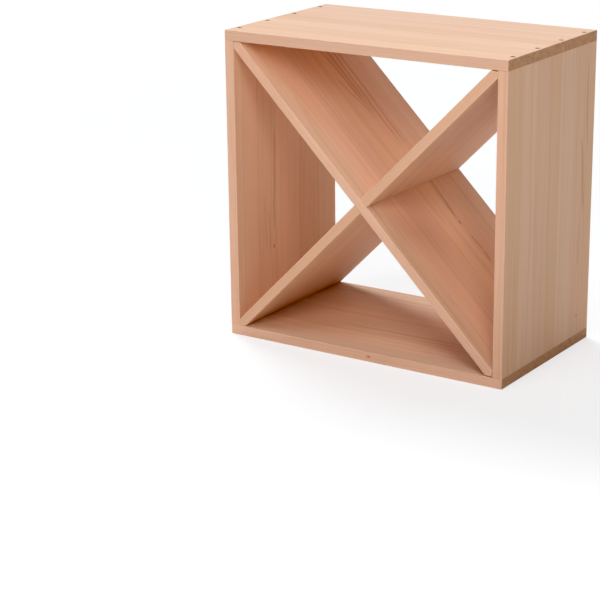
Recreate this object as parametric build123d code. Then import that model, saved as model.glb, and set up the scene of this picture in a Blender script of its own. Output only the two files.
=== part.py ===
from build123d import *
import os

# A free-standing wine rack: an open square box of four pine panels, screwed at its
# corners, and two crossed boards that halve into each other and push in from the front.
#
# Millimetres. X is the width, Y runs from the open front (-Y) to the open back (+Y),
# Z is up. The origin is the centre of the footprint, on the floor.

# Driving dimensions of the box
WIDTH = 520.0
HEIGHT = 520.0
DEPTH = 300.0
PANEL = 17.0  # thickness of the top, the bottom and the sides
ARRIS = 0.8  # radius that takes the sharpness off the exposed edges of every board

# Driving dimensions of the crossed boards
BOARD = 16.0  # thickness
BOARD_DEPTH = 298.0  # flush with the box in front, 2 mm short of it at the back
SLOT_PLAY = 0.3  # gap each side of a board in the other board's slot
LAP_GAP = 0.5  # gap between the two slot ends, front to back
SNUG_GAP = 0.3  # gap where the end of a crossed board bears on a panel
FALLING_TOP_GAP = 0.9  # end of the falling board under the top, on the left
FALLING_BOTTOM_GAP = 1.4  # its other end above the bottom, on the right
RISING_TOP_GAP = 1.6  # end of the rising board under the top, on the right

# Driving dimensions of the wood screws
HEAD = 8.0  # diameter of the countersunk head
HEAD_RIM = 0.4  # straight edge round the head
SHANK = 4.0  # smooth neck, and the outside of the thread
CORE = 2.7  # root of the thread
SCREW_LENGTH = 45.0
NECK_LENGTH = 16.0
THREAD_PITCH = 2.0
TIP_LENGTH = 4.0
RECESS_SPAN = 4.4  # width across the cross recess
RECESS_WIDTH = 0.9
RECESS_DEPTH = 2.0
SUNK = 0.3  # how far the heads lie below the wood
HOLE_PLAY = 0.1  # gap round a screw
SCREW_INSET = 30.0  # first and last screw from the front and back edges
SCREWS_PER_JOINT = 4

# Worked out from the dimensions above
SIDE_HEIGHT = HEIGHT - 2 * PANEL
OPENING_HALF_WIDTH = WIDTH / 2 - PANEL
SIDE_X = WIDTH / 2 - PANEL / 2
FRONT = -DEPTH / 2
BOARD_MIDDLE = FRONT + BOARD_DEPTH / 2
HEAD_CONE = (HEAD - SHANK) / 2  # a 90 degree countersink is as deep as it is wide
SCREW_SPACING = (DEPTH - 2 * SCREW_INSET) / (SCREWS_PER_JOINT - 1)
SCREW_ROWS = [FRONT + SCREW_INSET + i * SCREW_SPACING for i in range(SCREWS_PER_JOINT)]
SIDES = {"left": -SIDE_X, "right": SIDE_X}


def turned(points):
    """The solid of revolution about Z whose half outline runs through points (radius, height)."""
    outline = Polyline(*points, close=True)
    return revolve(Plane.XZ * make_face(outline), Axis.Z)


def wood_screw():
    """One countersunk screw pointing down, with the top of its head at height 0."""
    points = [
        (0, 0),
        (HEAD / 2, 0),
        (HEAD / 2, -HEAD_RIM),
        (SHANK / 2, -HEAD_RIM - HEAD_CONE),
        (SHANK / 2, -NECK_LENGTH),
        (CORE / 2, -NECK_LENGTH),
    ]
    threads = int((SCREW_LENGTH - TIP_LENGTH - NECK_LENGTH) / THREAD_PITCH)
    for turn in range(threads):
        start = -NECK_LENGTH - turn * THREAD_PITCH
        points.append((CORE / 2, start - 0.3 * THREAD_PITCH))
        points.append((SHANK / 2, start - 0.6 * THREAD_PITCH))
        points.append((CORE / 2, start - 0.9 * THREAD_PITCH))
    points.append((CORE / 2, -SCREW_LENGTH + TIP_LENGTH))
    points.append((0, -SCREW_LENGTH))
    cross = Rectangle(RECESS_SPAN, RECESS_WIDTH) + Rectangle(RECESS_WIDTH, RECESS_SPAN)
    return turned(points) - extrude(cross, amount=-RECESS_DEPTH, taper=8)


def clearance_hole():
    """What a screw takes out of a top or bottom panel whose face is SUNK above height 0."""
    wide = HEAD / 2 + HOLE_PLAY
    narrow = SHANK / 2 + HOLE_PLAY
    return turned(
        [
            (0, 2 * SUNK),
            (wide, 2 * SUNK),
            (wide, -HEAD_RIM),
            (narrow, -HEAD_RIM - HEAD_CONE),
            (narrow, -2 * PANEL),
            (0, -2 * PANEL),
        ]
    )


def pilot_hole():
    """What a screw takes out of the end of a side panel, as wide as the outside of the thread."""
    wide = SHANK / 2 + HOLE_PLAY
    bottom = -SCREW_LENGTH - 1
    return turned([(0, 0), (wide, 0), (wide, bottom + wide), (0, bottom)])


def at_top(shape, x):
    """Copies of a shape on the screw axes of the top joint at x."""
    return [Pos(x, y, HEIGHT - SUNK) * shape for y in SCREW_ROWS]


def at_bottom(shape, x):
    """Copies of a shape, turned over, on the screw axes of the bottom joint at x."""
    return [Pos(x, y, SUNK) * Rot(180, 0, 0) * shape for y in SCREW_ROWS]


def level_panel(joint, inner_height):
    """A full-width panel over or under the sides, which are cut square to it at inner_height.
    joint places its screws."""
    middle = HEIGHT - PANEL / 2 if inner_height > HEIGHT / 2 else PANEL / 2
    panel = Pos(0, 0, middle) * Box(WIDTH, DEPTH, PANEL)
    seams = panel.edges().filter_by(Axis.Y).filter_by_position(
        Axis.Z, inner_height, inner_height
    )
    eased = [edge for edge in panel.edges() if edge not in seams]
    panel = fillet(eased, ARRIS)
    for x in SIDES.values():
        for hole in joint(clearance_hole(), x):
            panel -= hole
    return panel


def side_panel(x):
    """An upright panel between the top and the bottom, with its pilot holes."""
    panel = Pos(x, 0, HEIGHT / 2) * Box(PANEL, DEPTH, SIDE_HEIGHT)
    panel = fillet(panel.edges().filter_by(Axis.Z), ARRIS)
    for hole in at_top(pilot_hole(), x) + at_bottom(pilot_hole(), x):
        panel -= hole
    return panel


def opening(left_top_gap, left_bottom_gap, right_top_gap, right_bottom_gap):
    """The block inside the box that a crossed board may fill: its four corner gaps are measured
    from the top and the bottom, and it keeps SNUG_GAP from the sides."""
    half = OPENING_HALF_WIDTH - SNUG_GAP
    halves = []
    for sign, top_gap, bottom_gap in (
        (-1, left_top_gap, left_bottom_gap),
        (1, right_top_gap, right_bottom_gap),
    ):
        low = PANEL + bottom_gap
        high = HEIGHT - PANEL - top_gap
        block = Box(half, BOARD_DEPTH, high - low)
        halves.append(Pos(sign * half / 2, BOARD_MIDDLE, (low + high) / 2) * block)
    return halves[0] + halves[1]


def crossed_board(tilt, room):
    """A board from corner to corner, cut to a right-angled point at each end."""
    length = 2 * WIDTH
    strip = Pos(0, BOARD_MIDDLE, HEIGHT / 2) * Rot(0, tilt, 0) * Box(length, BOARD_DEPTH, BOARD)
    board = (strip & room).solid()
    rims = board.edges().filter_by_position(Axis.Y, FRONT, FRONT)
    rims += board.edges().filter_by_position(Axis.Y, FRONT + BOARD_DEPTH, FRONT + BOARD_DEPTH)
    return fillet(rims, ARRIS)


def slot(tilt, near, far):
    """The cut that lets the other board, which leans at tilt, into a crossed board from near to far."""
    wide = BOARD + 2 * SLOT_PLAY
    block = Box(4 * BOARD, far - near, wide)
    return Pos(0, (near + far) / 2, HEIGHT / 2) * Rot(0, tilt, 0) * block


def falling_board():
    """From the top left to the bottom right, whole in front, with its slot at the back."""
    room = opening(FALLING_TOP_GAP, SNUG_GAP, SNUG_GAP, FALLING_BOTTOM_GAP)
    return crossed_board(45, room) - slot(-45, BOARD_MIDDLE - LAP_GAP / 2, DEPTH)


def rising_board():
    """From the bottom left to the top right, whole at the back, with its slot in front."""
    room = opening(SNUG_GAP, SNUG_GAP, RISING_TOP_GAP, SNUG_GAP)
    return crossed_board(-45, room) - slot(45, -DEPTH, BOARD_MIDDLE + LAP_GAP / 2)


def save(name, shape):
    """Writes one node's STEP file."""
    shape.label = name
    export_step(shape, f"parts/{name}.step")


save("top_panel", level_panel(at_top, HEIGHT - PANEL))
save("bottom_panel", level_panel(at_bottom, PANEL))
for side, x in SIDES.items():
    save(f"{side}_side_panel", side_panel(x))
    save(f"top_{side}_screws", Compound(children=at_top(wood_screw(), x)))
    save(f"bottom_{side}_screws", Compound(children=at_bottom(wood_screw(), x)))
save("falling_cross_board", falling_board())
save("rising_cross_board", rising_board())
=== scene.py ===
import math

import bpy
from mathutils import Matrix, Vector


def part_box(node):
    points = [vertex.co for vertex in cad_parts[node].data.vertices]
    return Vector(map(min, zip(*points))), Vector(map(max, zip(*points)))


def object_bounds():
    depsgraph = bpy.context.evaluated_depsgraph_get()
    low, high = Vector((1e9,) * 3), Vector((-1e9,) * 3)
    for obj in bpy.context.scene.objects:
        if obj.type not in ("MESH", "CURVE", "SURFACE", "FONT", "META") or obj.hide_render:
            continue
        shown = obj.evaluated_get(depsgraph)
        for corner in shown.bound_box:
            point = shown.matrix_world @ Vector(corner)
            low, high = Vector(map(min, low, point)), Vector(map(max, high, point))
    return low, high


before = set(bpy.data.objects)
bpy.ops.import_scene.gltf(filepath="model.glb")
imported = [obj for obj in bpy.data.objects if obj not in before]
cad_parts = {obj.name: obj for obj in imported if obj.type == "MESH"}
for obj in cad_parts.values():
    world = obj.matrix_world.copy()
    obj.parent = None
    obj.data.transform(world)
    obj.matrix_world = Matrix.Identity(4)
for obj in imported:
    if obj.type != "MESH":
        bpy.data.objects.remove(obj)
cad_box = [list(corner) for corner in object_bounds()]

# A pine wine rack: four glued-up panels screwed into a box, and two crossed boards pushed into it.
# Everything is in metres, in the frame of the CAD model: +Z up, -Y out of the open front.

LOW, HIGH = (Vector(corner) for corner in cad_box)
CENTRE = (LOW + HIGH) / 2

# Camera, on a standard 36 mm sensor
VIEW_AZIMUTH = 34.25  # degrees to the right of straight ahead
VIEW_ELEVATION = 17.9
VIEW_ROLL = -0.74
VIEW_DISTANCE = 3.377
VIEW_TARGET = Vector((-0.2206, 0.0, 0.0245))  # the point in the middle of the picture
LENS = 115.6  # mm

# Studio light: azimuth, elevation, strength, width (in degrees), distance and colour of each softbox
COOL, NEUTRAL = (1.0, 1.075, 1.175), (1.0, 1.015, 1.05)
SOFTBOXES = {
    "key_light": (-122.0, 47.0, 0.78, 28.0, 40.0, COOL),
    "front_light": (2.0, 27.0, 0.20, 18.0, 3.5, NEUTRAL),
    "fill_light": (38.0, 35.0, 0.27, 20.0, 3.5, NEUTRAL),
    "high_light": (-6.0, 67.0, 0.26, 30.0, 12.0, COOL),
    "back_light": (180.0, 22.0, 0.29, 60.0, 40.0, COOL),
}
AMBIENT = 0.012
BACKDROP = 1.03  # how bright the empty backdrop looks
BLACK_POINT = 0.02  # light below this level shows as black
FLOOR = (0.95, 0.92, 0.88)
FLOOR_RADIUS = 30.0
FLOOR_GLOW = 0.62  # how much of the floor's look near the rack is plain white
GLOW_GROWS = (0.6, 5.0)  # between these distances from the rack it turns all white

# Colours, as linear light
PALE = (0.83, 0.53, 0.352)  # early wood
PINK = (0.80, 0.467, 0.302)  # its redder staves
TAN = (0.80, 0.49, 0.285)  # its yellower staves
LATE = (0.60, 0.27, 0.13)  # late wood, the dark line of each ring
RESIN_AND_SHADE = (0.44, 0.145, 0.05)  # resin lines and small knots, and the colour of the painted shade patch
END = (0.58, 0.30, 0.15)  # sawn ends, which soak up more light
END_LATE = (0.33, 0.145, 0.065)
EDGE_PAINTED_SHADE = (0.93, 0.875, 0.885)  # painted shade: the long edges are drawn a little darker and redder than the faces, for less light falling on them
STEEL = (0.045, 0.036, 0.030)  # the screws
STEEL_WORN = (0.10, 0.082, 0.066)

# How strongly each part of the figure shows, from 0 to 1
LATE_SHOWS = 0.33
BANDS_SHOW = 0.26
YELLOW_SHOWS = 0.6
FIBRES_SHOW = 0.16
GLUE_SHOWS = 0.16
KNOTS_SHOW = 0.75
# painted highlight: how much paler the rounded arrises are drawn
ARRIS_PAINTED_HIGHLIGHT = 0.35

# Sizes of the figure, in metres
STAVE = 0.043  # width of one glued stave
STAVE_VARIES = 0.006  # how far a glue line may lie from its even place
RING = 0.0042  # spacing of the growth rings
PITH_SIDE = 0.065  # how far to either side of its stave a pith may lie
PITH_DEPTH = (0.022, 0.092)  # how far behind the middle of the board it may lie
RING_SWAY = 0.022  # how far the rings wander along the board
RING_LEAN = 0.008  # how much they shift for each metre of board, either way
STREAK_WOBBLE = 0.007
GLUE_LINE = 0.0006  # half width of a glue line
GRAIN_DEPTH = 0.0003

# the last half width is for a broad patch of painted shade
FAINT, THIN, WIDE, BROAD, PAINTED_SHADE_PATCH = 0.0018, 0.0028, 0.005, 0.015, 0.13  # half widths of streaks


# ---------------------------------------------------------------- node helpers


class Nodes:
    """Short calls for building one material's node tree."""

    def __init__(self, name):
        self.material = bpy.data.materials.new(name)
        self.material.use_nodes = True
        self.tree = self.material.node_tree
        self.tree.nodes.clear()

    def add(self, kind, **settings):
        node = self.tree.nodes.new(kind)
        for key, value in settings.items():
            setattr(node, key, value)
        return node

    def feed(self, socket, value):
        if isinstance(value, bpy.types.NodeSocket):
            self.tree.links.new(value, socket)
        else:
            socket.default_value = value

    def math(self, operation, a, b=0.0, c=0.0, clamp=False):
        node = self.add("ShaderNodeMath", operation=operation, use_clamp=clamp)
        for socket, value in zip(node.inputs, (a, b, c)):
            self.feed(socket, value)
        return node.outputs[0]

    def vector(self, operation, a, b=(0.0, 0.0, 0.0)):
        node = self.add("ShaderNodeVectorMath", operation=operation)
        self.feed(node.inputs[0], a)
        self.feed(node.inputs[1], b)
        return node.outputs["Value" if operation in ("DOT_PRODUCT", "LENGTH") else "Vector"]

    def xyz(self, x, y, z):
        node = self.add("ShaderNodeCombineXYZ")
        for socket, value in zip(node.inputs, (x, y, z)):
            self.feed(socket, value)
        return node.outputs[0]

    def ramp(self, value, low, high, to_low=0.0, to_high=1.0):
        """A smooth step of value from low to high."""
        node = self.add("ShaderNodeMapRange", interpolation_type="SMOOTHSTEP")
        for socket, number in zip(node.inputs, (value, low, high, to_low, to_high)):
            self.feed(socket, number)
        return node.outputs[0]

    def curve(self, value, points):
        """value put through straight lines between points (from 0 to 1 each way)."""
        node = self.add("ShaderNodeValToRGB")
        stops = node.color_ramp.elements
        while len(stops) < len(points):
            stops.new(0.5)
        for stop, (place, level) in zip(stops, points):
            stop.position = place
            stop.color = (level, level, level, 1.0)
        self.feed(node.inputs[0], value)
        return node.outputs[0]

    def noise(self, vector, scale=1.0, detail=2.0, roughness=0.5):
        node = self.add("ShaderNodeTexNoise")
        self.feed(node.inputs["Vector"], vector)
        node.inputs["Scale"].default_value = scale
        node.inputs["Detail"].default_value = detail
        node.inputs["Roughness"].default_value = roughness
        return node.outputs["Fac"]

    def dice(self, number):
        """Three fixed random numbers from 0 to 1 for each value of number."""
        node = self.add("ShaderNodeTexWhiteNoise", noise_dimensions="1D")
        self.feed(node.inputs["W"], number)
        split = self.add("ShaderNodeSeparateColor")
        self.feed(split.inputs[0], node.outputs["Color"])
        return split.outputs[0], split.outputs[1], split.outputs[2]

    def mix(self, amount, a, b, blend="MIX"):
        node = self.add("ShaderNodeMix", data_type="RGBA", blend_type=blend)
        for socket, value in ((node.inputs[0], amount), (node.inputs[6], a), (node.inputs[7], b)):
            if isinstance(value, tuple):
                value = (*value, 1.0)
            self.feed(socket, value)
        return node.outputs[2]

    def shade(self, colour, amount):
        """colour times amount."""
        return self.mix(1.0, colour, self.xyz(amount, amount, amount), "MULTIPLY")

    def finished(self, shader):
        """The material, showing that shader."""
        out = self.add("ShaderNodeOutputMaterial")
        self.feed(out.inputs[0], shader.outputs[0])
        return self.material


# ---------------------------------------------------------------- pine


def knot_distance(n, u, v, w, knot):
    """How far a point is from a knot, which is a little longer along the grain."""
    offset = n.vector("SUBTRACT", n.xyz(u, v, w), knot[:3])
    return n.vector("LENGTH", n.vector("MULTIPLY", offset, (0.55, 1.0, 1.0)))


def late_wood(n, u, v, w, in_stave, stave, seed, knots):
    """How far into the dark part of a growth ring a point is, from 0 to 1."""
    bend, pith_v, pith_w = n.dice(n.math("ADD", stave, seed * 13.7))
    lean, _, _ = n.dice(n.math("ADD", stave, seed * 5.9 + 101.3))
    sway_at = n.xyz(
        n.math("MULTIPLY_ADD", u, 2.2, n.math("MULTIPLY", bend, 40.0)),
        n.math("MULTIPLY", v, 10.0),
        n.math("MULTIPLY", w, 10.0),
    )
    sway = n.math("SUBTRACT", n.noise(sway_at, 1.0, 2.0), 0.5)
    # each stave has its own pith, off to one side of it
    beside = n.math("MULTIPLY_ADD", pith_v, 2 * PITH_SIDE, -PITH_SIDE)
    behind = n.math("MULTIPLY_ADD", pith_w, PITH_DEPTH[1] - PITH_DEPTH[0], PITH_DEPTH[0])
    from_v = n.math("SUBTRACT", n.math("MULTIPLY", in_stave, STAVE), beside)
    from_w = n.math("SUBTRACT", w, behind)
    radius = n.vector("LENGTH", n.xyz(from_v, from_w, 0.0))
    radius = n.math("MULTIPLY_ADD", sway, RING_SWAY, radius)
    radius = n.math("MULTIPLY_ADD", u, n.math("MULTIPLY_ADD", lean, 2 * RING_LEAN, -RING_LEAN), radius)
    for knot in knots:
        size = knot[3]  # the rings flow round a knot, out to four times its radius
        push = n.ramp(knot_distance(n, u, v, w, knot), 0.0, size * 4.0, size * 1.6, 0.0)
        radius = n.math("ADD", radius, push)
    uneven = n.noise(n.xyz(n.math("MULTIPLY", radius, 130.0), stave, u), 1.0, 1.0)
    rings = n.math("MULTIPLY_ADD", uneven, 1.3, n.math("DIVIDE", radius, RING))
    phase = n.math("FRACT", rings)
    late = n.curve(phase, [(0.0, 0.0), (0.35, 0.05), (0.72, 0.5), (0.88, 1.0), (0.97, 0.7), (1.0, 0.0)])
    strength = n.ramp(n.noise(n.xyz(rings, stave, 0.0), 0.7, 1.0), 0.35, 0.75, 0.1, 1.0)
    return n.math("MULTIPLY", late, strength)


def streak_amount(n, u, v, seed, streak):
    """A thin line from one point of the board to another, fading out at both ends."""
    start_u, start_v, end_u, end_v, half, strength = streak
    slope = (end_v - start_v) / (end_u - start_u)
    wobble = n.noise(n.xyz(n.math("MULTIPLY", u, 14.0), start_v * 90.0, seed), 1.0, 2.0)
    middle = n.math("MULTIPLY_ADD", u, slope, start_v - slope * start_u - STREAK_WOBBLE / 2)
    middle = n.math("MULTIPLY_ADD", wobble, STREAK_WOBBLE, middle)
    off = n.math("ABSOLUTE", n.math("SUBTRACT", v, middle))
    body = n.ramp(off, half * 0.15, half, strength, 0.0)
    fade = 0.2 * (end_u - start_u)
    begins = n.ramp(u, start_u, start_u + fade)
    ends = n.ramp(u, end_u - fade, end_u, 1.0, 0.0)
    return n.math("MULTIPLY", body, n.math("MULTIPLY", begins, ends))


def stretched(n, u, v, w, along, across):
    """Texture coordinates at that many units a metre along the grain and across it."""
    return n.xyz(n.math("MULTIPLY", u, along), n.math("MULTIPLY", v, across), n.math("MULTIPLY", w, across))


def pine(board, along, across, seed, tone, painted_edge_light, streaks=(), knots=()):
    """Solid pine, glued from staves that run along the board, side by side across it.
    tone darkens or lightens the board, and the edge factor gives its long edges painted shade below 1 and
    painted light above 1.
    A streak is (start along, start across, end along, end across, half width, strength), a knot
    is (along, across, through, radius); both are measured from the middle of the board."""
    n = Nodes(f"pine_{board}")
    along, across = Vector(along).normalized(), Vector(across).normalized()
    through = along.cross(across)
    low, high = (Vector(corner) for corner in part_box(board))
    coords = n.add("ShaderNodeTexCoord")
    place = n.vector("SUBTRACT", coords.outputs["Object"], tuple((low + high) / 2))
    u, v, w = (n.vector("DOT_PRODUCT", place, tuple(axis)) for axis in (along, across, through))

    # staves of slightly different widths
    v_even = n.math("MULTIPLY_ADD", n.math("SINE", n.math("MULTIPLY", v, 47.0)), STAVE_VARIES, v)
    stave_at = n.math("ADD", n.math("DIVIDE", v_even, STAVE), seed * 7.31)
    stave = n.math("FLOOR", stave_at)
    in_stave = n.math("SUBTRACT", n.math("FRACT", stave_at), 0.5)
    redness, yellowness, lightness = n.dice(n.math("ADD", stave, seed * 3.3 + 57.1))
    late = late_wood(n, u, v, w, in_stave, stave, seed, knots)

    # fibres, a few millimetres wide bands of them, and broad soft blushes
    fibre = n.noise(stretched(n, u, v, w, 6.0, 1100.0), 1.0, 3.0, 0.6)
    band_at = n.vector("ADD", stretched(n, u, v, w, 1.6, 120.0), (seed * 2.7, seed, 0.0))
    bands = n.noise(band_at, 1.0, 3.0, 0.55)
    blush_at = n.vector("ADD", stretched(n, u, v, w, 3.0, 17.0), (seed * 3.1, seed, 0.0))
    blush = n.noise(blush_at, 1.0, 2.0)

    # colour of the staves, with their rings, bands, fibres and glue lines
    blushing = n.math("MULTIPLY_ADD", blush, 1.6, -0.85)
    pinkness = n.math("MULTIPLY_ADD", redness, 0.8, blushing, clamp=True)
    colour = n.mix(pinkness, PALE, PINK)
    colour = n.mix(n.ramp(yellowness, 0.5, 1.0, 0.0, YELLOW_SHOWS), colour, TAN)
    colour = n.mix(n.math("MULTIPLY", late, LATE_SHOWS), colour, LATE)
    colour = n.mix(n.ramp(bands, 0.52, 0.72, 0.0, BANDS_SHOW), colour, LATE)
    shade = n.math("MULTIPLY_ADD", lightness, 0.09 * tone, 0.94 * tone)
    shade = n.math("MULTIPLY", shade, n.math("MULTIPLY_ADD", fibre, FIBRES_SHOW, 1.0 - FIBRES_SHOW / 2))
    half_line = GLUE_LINE / STAVE
    glue = n.ramp(n.math("ABSOLUTE", in_stave), 0.5 - half_line, 0.5 - half_line / 6)
    shade = n.math("MULTIPLY", shade, n.math("MULTIPLY_ADD", glue, -GLUE_SHOWS, 1.0))
    colour = n.shade(colour, shade)
    # painted shade on the long front and back edges, and painted light where the edge factor is above 1 (the
    # bottom panel)
    painted_edge_shade = tuple(painted_edge_light * channel for channel in EDGE_PAINTED_SHADE)
    painted_edge_colour = n.mix(1.0, colour, painted_edge_shade, "MULTIPLY")
    # resin streaks, and on the falling board a broad patch of painted shade
    for streak in streaks:
        colour = n.mix(streak_amount(n, u, v, seed, streak), colour, RESIN_AND_SHADE)

    # long edges with their painted shade, which show no streaks, then knots, sawn ends and the arrises drawn
    # paler as a painted highlight
    facing = [
        n.math("ABSOLUTE", n.vector("DOT_PRODUCT", coords.outputs["Normal"], tuple(axis)))
        for axis in (along, across, through)
    ]
    colour = n.mix(n.ramp(facing[1], 0.8, 0.95), colour, painted_edge_colour)
    for knot in knots:
        radius = knot[3]
        inside = n.ramp(knot_distance(n, u, v, w, knot), radius * 0.45, radius, KNOTS_SHOW, 0.0)
        colour = n.mix(inside, colour, RESIN_AND_SHADE)
    end = n.ramp(facing[0], 0.75, 0.9)
    pores = n.noise(n.vector("MULTIPLY", place, (900.0, 900.0, 900.0)), 1.0, 2.0, 0.7)
    end_colour = n.mix(n.math("MULTIPLY", late, 0.7), END, END_LATE)
    pore_shade = n.math("MULTIPLY_ADD", pores, 0.5, 0.75)
    end_shade = n.math("MULTIPLY", pore_shade, n.math("MULTIPLY_ADD", bands, 0.7, 0.62))
    colour = n.mix(end, colour, n.shade(end_colour, end_shade))
    # painted highlight on the rounded arrises, drawn paler
    flat = n.math("MAXIMUM", n.math("MAXIMUM", facing[0], facing[1]), facing[2])
    colour = n.mix(n.ramp(flat, 0.8, 0.97, ARRIS_PAINTED_HIGHLIGHT, 0.0), colour, PALE)

    # surface
    relief = n.math("MULTIPLY_ADD", late, 0.4, n.math("MULTIPLY", fibre, 0.8))
    relief = n.math("MULTIPLY_ADD", n.math("MULTIPLY", pores, end), 1.2, relief)
    bump = n.add("ShaderNodeBump")
    bump.inputs["Strength"].default_value = 0.4
    bump.inputs["Distance"].default_value = GRAIN_DEPTH
    n.feed(bump.inputs["Height"], relief)
    shader = n.add("ShaderNodeBsdfPrincipled")
    n.feed(shader.inputs["Base Color"], colour)
    n.feed(shader.inputs["Roughness"], n.math("MULTIPLY_ADD", late, -0.12, 0.66))
    n.feed(shader.inputs["Normal"], bump.outputs[0])
    shader.inputs["Specular IOR Level"].default_value = 0.3
    return n.finished(shader)


# ---------------------------------------------------------------- steel


def screw_steel():
    """Dark passivated steel with brushed wear."""
    n = Nodes("screw_steel")
    coords = n.add("ShaderNodeTexCoord")
    fine = n.noise(coords.outputs["Object"], 900.0, 3.0, 0.6)
    coarse = n.noise(coords.outputs["Object"], 260.0, 2.0)
    colour = n.mix(n.ramp(coarse, 0.35, 0.7), STEEL, STEEL_WORN)
    shader = n.add("ShaderNodeBsdfPrincipled")
    n.feed(shader.inputs["Base Color"], colour)
    shader.inputs["Metallic"].default_value = 0.9
    n.feed(shader.inputs["Roughness"], n.math("MULTIPLY_ADD", fine, 0.3, 0.32))
    return n.finished(shader)


def dress(node, material):
    """Gives a carried-over CAD node its material."""
    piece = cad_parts[node]
    for slot in piece.material_slots:
        slot.material = material


# ---------------------------------------------------------------- stage


def stage():
    """A wide pale floor."""
    bpy.ops.mesh.primitive_circle_add(vertices=96, radius=FLOOR_RADIUS, fill_type="NGON", location=(0, 0, 0))
    floor = bpy.context.object
    floor.name = "floor"
    n = Nodes("floor_paint")
    coords = n.add("ShaderNodeTexCoord")
    mottle = n.noise(coords.outputs["Object"], 3.0, 2.0)
    shader = n.add("ShaderNodeBsdfPrincipled")
    tone = n.math("MULTIPLY_ADD", mottle, 0.01, 0.995)
    n.feed(shader.inputs["Base Color"], n.shade(FLOOR, tone))
    shader.inputs["Roughness"].default_value = 0.9
    shader.inputs["Specular IOR Level"].default_value = 0.1
    # white light of its own, seen but not cast: it softens the shadows and hides the far edge
    glow = n.add("ShaderNodeEmission")
    glow.inputs["Strength"].default_value = BACKDROP
    ray = n.add("ShaderNodeLightPath")
    mix = n.add("ShaderNodeMixShader")
    glowing = n.ramp(n.vector("LENGTH", coords.outputs["Object"]), *GLOW_GROWS, FLOOR_GLOW, 1.0)
    n.feed(mix.inputs[0], n.math("MULTIPLY", ray.outputs["Is Camera Ray"], glowing))
    n.feed(mix.inputs[1], shader.outputs[0])
    n.feed(mix.inputs[2], glow.outputs[0])
    floor.data.materials.append(n.finished(mix))


def towards(azimuth, elevation):
    """The direction from the rack to something at that azimuth and elevation, in degrees."""
    a, e = math.radians(azimuth), math.radians(elevation)
    return Vector((math.sin(a) * math.cos(e), -math.cos(a) * math.cos(e), math.sin(e)))


def soft_light(name, azimuth, elevation, strength, width, distance, colour):
    """A round softbox that lights the middle of the rack with that strength."""
    data = bpy.data.lights.new(name, "AREA")
    data.shape = "DISK"
    data.size = 2 * distance * math.tan(math.radians(width / 2))
    data.energy = strength * (math.pi * distance) ** 2
    data.color = colour
    lamp = bpy.data.objects.new(name, data)
    lamp.location = CENTRE + towards(azimuth, elevation) * distance
    lamp.rotation_euler = towards(azimuth, elevation).to_track_quat("Z", "Y").to_euler()
    lamp.visible_camera = False
    bpy.context.collection.objects.link(lamp)


def lights():
    """The softboxes, a little light from all round, and a white backdrop."""
    world = bpy.data.worlds.new("studio")
    bpy.context.scene.world = world
    world.use_nodes = True
    tree = world.node_tree
    room = tree.nodes["Background"]
    backdrop = tree.nodes.new("ShaderNodeBackground")
    for node, strength in ((room, AMBIENT), (backdrop, BACKDROP)):
        node.inputs["Color"].default_value = (1.0, 1.0, 1.0, 1.0)
        node.inputs["Strength"].default_value = strength
    ray = tree.nodes.new("ShaderNodeLightPath")
    mix = tree.nodes.new("ShaderNodeMixShader")
    tree.links.new(ray.outputs["Is Camera Ray"], mix.inputs[0])
    tree.links.new(room.outputs[0], mix.inputs[1])
    tree.links.new(backdrop.outputs[0], mix.inputs[2])
    tree.links.new(mix.outputs[0], tree.nodes["World Output"].inputs[0])
    for name, place in SOFTBOXES.items():
        soft_light(name, *place)


def tone_of_picture():
    """Plain colours, with shadows a little deeper than they would come out."""
    view = bpy.context.scene.view_settings
    view.view_transform = "Standard"
    view.use_curve_mapping = True
    view.curve_mapping.black_level = (BLACK_POINT, BLACK_POINT, BLACK_POINT)
    view.curve_mapping.update()


def camera():
    """The camera, at the viewing angle above."""
    r = math.radians(VIEW_ROLL)
    back = towards(VIEW_AZIMUTH, VIEW_ELEVATION)
    right = Vector((-back.y, back.x, 0.0)).normalized()
    up = back.cross(right)
    right, up = right * math.cos(r) + up * math.sin(r), up * math.cos(r) - right * math.sin(r)
    data = bpy.data.cameras.new("camera")
    data.lens = LENS
    eye = bpy.data.objects.new("camera", data)
    turn = Matrix((right, up, back)).transposed().to_4x4()
    eye.matrix_world = Matrix.Translation(VIEW_TARGET + back * VIEW_DISTANCE) @ turn
    bpy.context.collection.objects.link(eye)
    bpy.context.scene.camera = eye


# ---------------------------------------------------------------- the rack

camera()
lights()
stage()
tone_of_picture()

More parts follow.
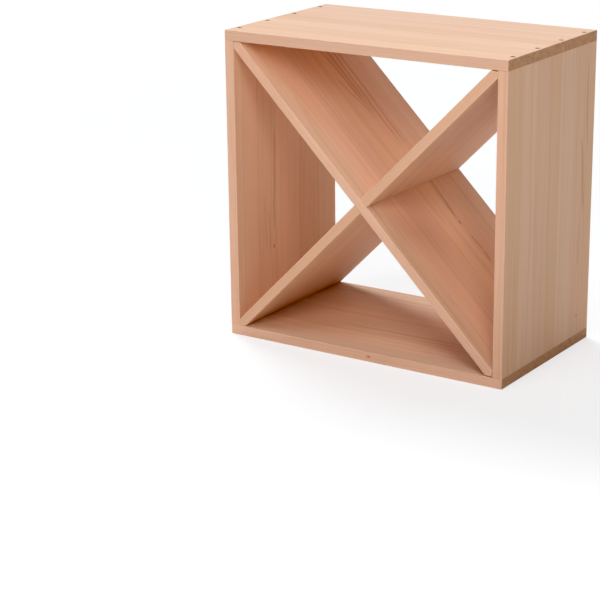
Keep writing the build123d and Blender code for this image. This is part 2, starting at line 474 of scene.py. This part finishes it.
X, Y, Z = (1, 0, 0), (0, 1, 0), (0, 0, 1)
DOWN_RIGHT, UP_RIGHT = (1, 0, -1), (1, 0, 1)
BOARDS = {
    "top_panel": dict(
        along=X, across=Y, seed=1, tone=1.0, painted_edge_light=0.92,
        streaks=(
            (0.02, -0.073, 0.08, -0.076, WIDE, 0.10),
            (0.08, -0.083, 0.15, -0.086, WIDE, 0.12),
            (0.02, 0.075, 0.10, 0.073, THIN, 0.14),
            (0.09, 0.052, 0.16, 0.049, THIN, 0.14),
        ),
    ),
    "bottom_panel": dict(
        along=X, across=Y, seed=2, tone=0.93, painted_edge_light=1.17,
        streaks=(
            (-0.12, -0.047, 0.20, -0.040, WIDE, 0.30),
            (-0.04, -0.062, 0.15, -0.056, THIN, 0.30),
            (-0.20, 0.010, 0.10, 0.016, WIDE, 0.14),
        ),
        knots=((0.015, -0.150, 0.0005, 0.0026),),
    ),
    "left_side_panel": dict(
        along=Z, across=Y, seed=3, tone=0.97, painted_edge_light=1.0,
        streaks=(
            (-0.11, -0.043, 0.09, -0.038, WIDE, 0.34),
            (-0.13, -0.066, -0.03, -0.070, FAINT, 0.35),
            (-0.14, -0.056, -0.06, -0.058, FAINT, 0.35),
        ),
        knots=((-0.129, -0.044, -0.0085, 0.0028),),
    ),
    "right_side_panel": dict(
        along=Z, across=Y, seed=4, tone=1.0, painted_edge_light=1.0,
        streaks=(
            (-0.04, 0.120, 0.10, 0.106, WIDE, 0.34),
            (0.06, 0.128, 0.22, 0.122, THIN, 0.3),
            (-0.13, 0.104, -0.05, 0.106, THIN, 0.25),
        ),
        knots=((-0.209, 0.107, -0.0085, 0.0020),),
    ),
    "falling_cross_board": dict(
        along=DOWN_RIGHT, across=Y, seed=5, tone=1.09, painted_edge_light=1.0,
        streaks=(
            (-0.34, 0.045, -0.12, 0.042, BROAD, 0.18),
            (-0.34, 0.024, -0.155, 0.040, THIN, 0.45),
            (-0.34, 0.048, -0.160, 0.042, THIN, 0.42),
            (-0.23, 0.016, -0.135, 0.036, THIN, 0.30),
            (-0.34, 0.061, -0.050, 0.049, THIN, 0.45),
            (-0.34, 0.072, -0.050, 0.062, THIN, 0.45),
            (-0.03, 0.060, 0.095, 0.045, THIN, 0.45),
            (-0.03, 0.049, 0.095, 0.043, THIN, 0.35),
            (-0.03, 0.054, 0.095, 0.045, WIDE, 0.15),
            (0.120, 0.046, 0.158, 0.050, THIN, 0.40),
            (0.155, 0.050, 0.180, 0.045, THIN, 0.50),
            (0.02, 0.050, 0.24, 0.048, BROAD, 0.10),
            # painted shade: a broad darker patch over the front of the lower right half of the board
            (0.00, -0.100, 0.45, -0.110, PAINTED_SHADE_PATCH, 0.30),
        ),
        knots=((0.095, 0.0445, 0.008, 0.0026),),
    ),
    "rising_cross_board": dict(
        along=UP_RIGHT, across=Y, seed=6, tone=1.0, painted_edge_light=0.97,
        streaks=(
            (0.11, -0.074, 0.20, -0.042, FAINT, 0.4),
            (0.02, 0.02, 0.30, 0.03, WIDE, 0.2),
        ),
    ),
}
for node, look in BOARDS.items():
    dress(node, pine(node, **look))
steel = screw_steel()
for level in ("top", "bottom"):
    for side in ("left", "right"):
        dress(f"{level}_{side}_screws", steel)
